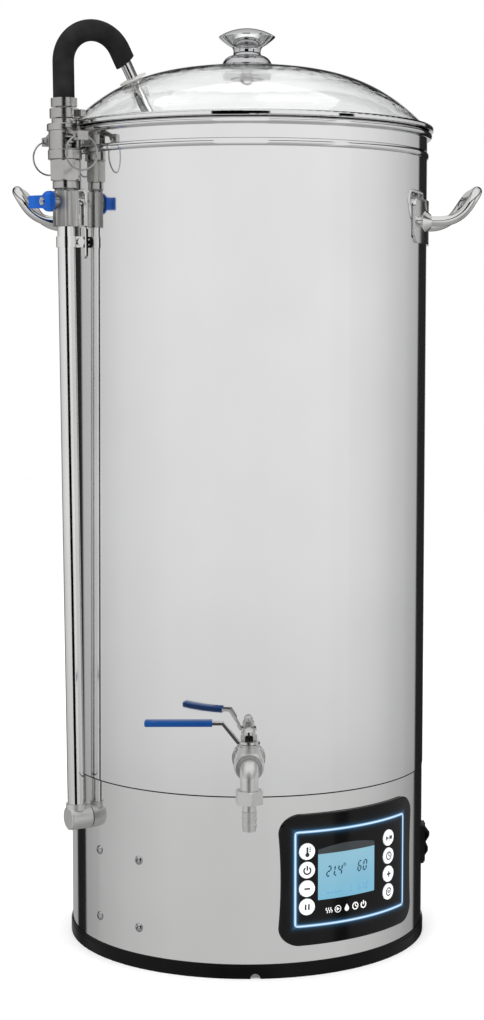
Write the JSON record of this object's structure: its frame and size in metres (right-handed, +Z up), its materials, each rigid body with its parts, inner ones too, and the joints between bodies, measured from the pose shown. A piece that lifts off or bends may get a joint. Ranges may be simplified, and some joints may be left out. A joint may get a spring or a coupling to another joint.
{
  "type": "electric all-in-one brewer",
  "caption": "Tall polished steel kettle on a heated base with a control panel, front ball tap, side recirculation riser with cam coupling, glass dome lid and insulated return hose.",
  "frame": {"origin": "on the kettle's axis, on the plane that the base ring stands on", "axes": "+Z up along the kettle's axis; -Y is the front, where the tap is; +X is the side nearer the rocker switch and +Y the back, where the mains lead enters"},
  "size_m": [0.4416, 0.4295, 0.8682],
  "materials": {
    "black_plastic": "fine satin",
    "gloss_black": "high gloss",
    "shell_steel": "mirror polished stainless",
    "kettle_steel": "mirror polished stainless",
    "inner_steel": "satin stainless",
    "fitting_steel": "turned stainless",
    "cast_steel": "bead-blasted cast stainless",
    "screw_steel": "plain stainless",
    "cast_aluminium": "rolled",
    "black_rubber": "matt",
    "foam_black": "closed-cell foam",
    "silicone": "translucent silicone",
    "motor_paint": "black paint",
    "pump_plastic": "moulded",
    "board_green": "circuit board",
    "light_guide": "lit translucent",
    "display": "backlit display",
    "button_face": "backlit cap",
    "blue_plastic": "dipped vinyl",
    "clear_glass": "tempered clear",
    "knob_steel": "mirror polished"
  },
  "bodies": {
    "base": {"base_ring": "black_plastic", "base_plate": "screw_steel", "base_shell": "shell_steel", "seam_gasket": "black_rubber", "kettle": "kettle_steel", "heating_plate": "cast_aluminium", "floor_sensors": "screw_steel", "pump_motor": "motor_paint", "pump_head": "pump_plastic", "pump_screws": "screw_steel", "pump_hoses": "silicone", "control_housing": "black_plastic", "control_board": "board_green", "panel_bezel": "gloss_black", "light_frame": "light_guide", "lcd": "display", "switch_bezel": "black_plastic", "mains_gland": "black_plastic", "tap_locknut": "fitting_steel", "tap_body": "fitting_steel", "tap_spout": "fitting_steel", "tap_hose_tail": "fitting_steel", "riser_stub": "fitting_steel", "riser_pipe": "fitting_steel", "riser_clamp": "screw_steel", "riser_valve_body": "fitting_steel", "camlock_adapter": "cast_steel", "side_handles": "fitting_steel"},
    "malt_basket": {"malt_pipe": "inner_steel", "malt_sieves": "inner_steel", "overflow_pipe": "inner_steel"},
    "lid": {"camlock_coupler": "cast_steel", "hose_clamps": "screw_steel", "return_hose": "silicone", "hose_insulation": "foam_black", "return_tube": "fitting_steel", "lid_grommet": "silicone", "lid_glass": "clear_glass", "lid_rim": "kettle_steel", "lid_knob": "knob_steel", "knob_screw": "screw_steel"},
    "cam_lever_front": {"camlock_lever_front": "cast_steel"},
    "cam_lever_back": {"camlock_lever_back": "cast_steel"},
    "ring_front": {"pull_ring_front": "screw_steel"},
    "ring_back": {"pull_ring_back": "screw_steel"},
    "tap_handle": {"tap_ball": "fitting_steel", "tap_lever": "fitting_steel", "tap_lever_sleeve": "blue_plastic", "tap_stem_nut": "screw_steel"},
    "riser_handle": {"riser_valve_ball": "fitting_steel", "riser_valve_handle": "blue_plastic"},
    "rocker": {"switch_rocker": "gloss_black"},
    "button_temperature": {"button_temperature": "button_face"},
    "button_power": {"button_power": "button_face"},
    "button_minus": {"button_minus": "button_face"},
    "button_manual_pause": {"button_manual_pause": "button_face"},
    "button_start_stop": {"button_start_stop": "button_face"},
    "button_timer": {"button_timer": "button_face"},
    "button_plus": {"button_plus": "button_face"},
    "button_auto_pause": {"button_auto_pause": "button_face"}
  },
  "joints": [
    {"name": "malt_pipe_lift", "type": "slide", "parent": "base", "child": "malt_basket", "axis": [0, 0, 1], "range_m": [0, 0.55]},
    {"name": "lid_lift", "type": "slide", "parent": "malt_basket", "child": "lid", "axis": [0, 0, 1], "range_m": [0, 0.3]},
    {"name": "cam_lever_front_lift", "type": "hinge", "parent": "lid", "child": "cam_lever_front", "pos_m": [-0.16041, -0.10321, 0.76197], "axis": [-0.8746, -0.4848, -0.0105], "range_deg": [0, 76]},
    {"name": "cam_lever_back_lift", "type": "hinge", "parent": "lid", "child": "cam_lever_back", "pos_m": [-0.17253, -0.08134, 0.76197], "axis": [0.8746, 0.4848, 0.0105], "range_deg": [0, 76]},
    {"name": "ring_front_swing", "type": "hinge", "parent": "cam_lever_front", "child": "ring_front", "pos_m": [-0.14896, -0.12373, 0.75597], "axis": [-0.8746, -0.4848, -0.0105], "range_deg": [-35, 60]},
    {"name": "ring_back_swing", "type": "hinge", "parent": "cam_lever_back", "child": "ring_back", "pos_m": [-0.18387, -0.06076, 0.75597], "axis": [0.8746, 0.4848, 0.0105], "range_deg": [-35, 60]},
    {"name": "tap_turn", "type": "hinge", "parent": "base", "child": "tap_handle", "pos_m": [0, -0.202, 0.2027], "axis": [0, 0, 1], "range_deg": [0, 90]},
    {"name": "riser_valve_turn", "type": "hinge", "parent": "base", "child": "riser_handle", "pos_m": [-0.17902, -0.09923, 0.69951], "axis": [-0.8746, -0.4848, -0.0105], "range_deg": [0, 90]},
    {"name": "power_rocker", "type": "hinge", "parent": "base", "child": "rocker", "pos_m": [0.16891, -0.01925, 0.0868], "axis": [-0.1132, -0.9936, 0], "range_deg": [0, 14]},
    {"name": "button_temperature_press", "type": "slide", "parent": "base", "child": "button_temperature", "axis": [-0.3024, 0.9532, 0], "range_m": [0, 0.001], "stiffness_N_per_m": 300, "springref_m": -0.0005},
    {"name": "button_power_press", "type": "slide", "parent": "base", "child": "button_power", "axis": [-0.3024, 0.9532, 0], "range_m": [0, 0.001], "stiffness_N_per_m": 300, "springref_m": -0.0005},
    {"name": "button_minus_press", "type": "slide", "parent": "base", "child": "button_minus", "axis": [-0.3024, 0.9532, 0], "range_m": [0, 0.001], "stiffness_N_per_m": 300, "springref_m": -0.0005},
    {"name": "button_manual_pause_press", "type": "slide", "parent": "base", "child": "button_manual_pause", "axis": [-0.3024, 0.9532, 0], "range_m": [0, 0.001], "stiffness_N_per_m": 300, "springref_m": -0.0005},
    {"name": "button_start_stop_press", "type": "slide", "parent": "base", "child": "button_start_stop", "axis": [-0.7449, 0.6672, 0], "range_m": [0, 0.001], "stiffness_N_per_m": 300, "springref_m": -0.0005},
    {"name": "button_timer_press", "type": "slide", "parent": "base", "child": "button_timer", "axis": [-0.7449, 0.6672, 0], "range_m": [0, 0.001], "stiffness_N_per_m": 300, "springref_m": -0.0005},
    {"name": "button_plus_press", "type": "slide", "parent": "base", "child": "button_plus", "axis": [-0.7449, 0.6672, 0], "range_m": [0, 0.001], "stiffness_N_per_m": 300, "springref_m": -0.0005},
    {"name": "button_auto_pause_press", "type": "slide", "parent": "base", "child": "button_auto_pause", "axis": [-0.7449, 0.6672, 0], "range_m": [0, 0.001], "stiffness_N_per_m": 300, "springref_m": -0.0005}
  ]
}
